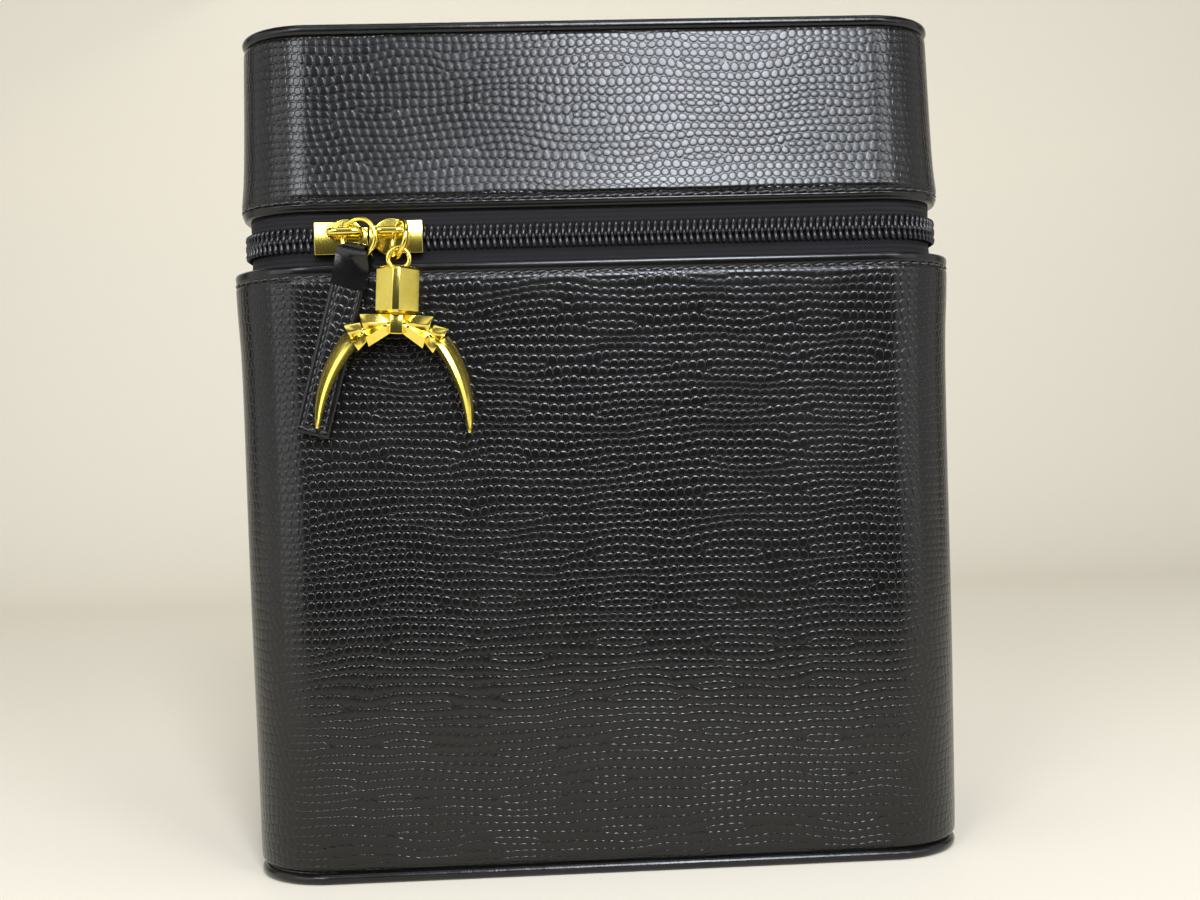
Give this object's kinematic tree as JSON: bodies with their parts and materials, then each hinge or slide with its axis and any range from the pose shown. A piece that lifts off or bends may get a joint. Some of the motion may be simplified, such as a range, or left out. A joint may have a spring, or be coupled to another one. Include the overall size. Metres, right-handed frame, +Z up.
{
  "type": "makeup train case",
  "caption": "Upright black embossed-leather vanity case with a zip-round hinged lid, a leather strap pull, a gold double-horn charm pull and a mirror inside the lid.",
  "frame": {"origin": "middle of the base, on the table", "axes": "+X to the right of someone facing the front, front face towards -Y, +Z up"},
  "size_m": [0.165, 0.1239, 0.19],
  "materials": {
    "embossed_leather": "semi-gloss black, embossed with small lizard scales",
    "smooth_leather": "glossy black, smooth",
    "board": "grey-brown fibreboard, hidden",
    "lining": "matt black woven",
    "zip_tape": "black herringbone weave",
    "zip_coil": "glossy black nylon",
    "gold": "polished gold plating",
    "mirror": "silvered glass"
  },
  "bodies": {
    "case": {"base_cover": "embossed_leather", "base_piping": "smooth_leather", "base_board": "board", "base_lining": "lining", "body_cover": "embossed_leather", "body_board": "board", "body_lining": "lining", "body_zip_tape": "zip_tape", "body_zip_coil": "zip_coil", "hinge_strip": "smooth_leather"},
    "lid": {"lid_cover": "embossed_leather", "lid_board": "board", "lid_lining": "lining", "lid_top_cover": "embossed_leather", "lid_top_board": "board", "lid_top_lining": "lining", "lid_piping": "smooth_leather", "lid_zip_tape": "zip_tape", "lid_zip_coil": "zip_coil", "mirror": "mirror", "mirror_frame": "smooth_leather"},
    "strap_slider": {"strap_slider_body": "gold", "strap_slider_bridge": "gold"},
    "strap_ring_link": {"strap_ring": "gold"},
    "strap_pull": {"strap_loop": "smooth_leather", "strap_tongue": "embossed_leather"},
    "charm_slider": {"charm_slider_body": "gold", "charm_slider_bridge": "gold"},
    "charm_ring_link": {"charm_ring": "gold"},
    "charm": {"charm_eye": "gold", "charm_cap": "gold", "charm_yoke": "gold", "left_horn": "gold", "right_horn": "gold"}
  },
  "joints": [
    {"name": "lid_hinge", "type": "hinge", "parent": "case", "child": "lid", "pos_m": [0, 0.0546, 0.1422], "axis": [-1, 0, 0], "range_deg": [0, 105], "deforming": ["hinge_strip"]},
    {"name": "strap_slide", "type": "slide", "parent": "case", "child": "strap_slider", "axis": [1, 0, 0], "range_m": [0, 0.03]},
    {"name": "charm_slide", "type": "slide", "parent": "strap_slider", "child": "charm_slider", "axis": [1, 0, 0], "range_m": [0, 0.07]},
    {"name": "charm_ring_swing", "type": "hinge", "parent": "charm_slider", "child": "charm_ring_link", "pos_m": [-0.0432, -0.0592, 0.1432], "axis": [-1, 0, 0], "range_deg": [0, 50]},
    {"name": "strap_ring_swing", "type": "hinge", "parent": "strap_slider", "child": "strap_ring_link", "pos_m": [-0.0519, -0.0592, 0.1432], "axis": [-1, 0, 0], "range_deg": [0, 50]},
    {"name": "charm_swing", "type": "hinge", "parent": "charm_ring_link", "child": "charm", "pos_m": [-0.0432, -0.0623, 0.13732], "axis": [-1, 0, 0], "range_deg": [0, 45]},
    {"name": "strap_sway", "type": "hinge", "parent": "strap_ring_link", "child": "strap_pull", "pos_m": [-0.05288, -0.05881, 0.13775], "axis": [0, 1, 0], "range_deg": [-10, 12]}
  ],
  "couplings": [
    {"joint": "strap_ring_swing", "follows": "charm_ring_swing", "ratio": 1}
  ]
}
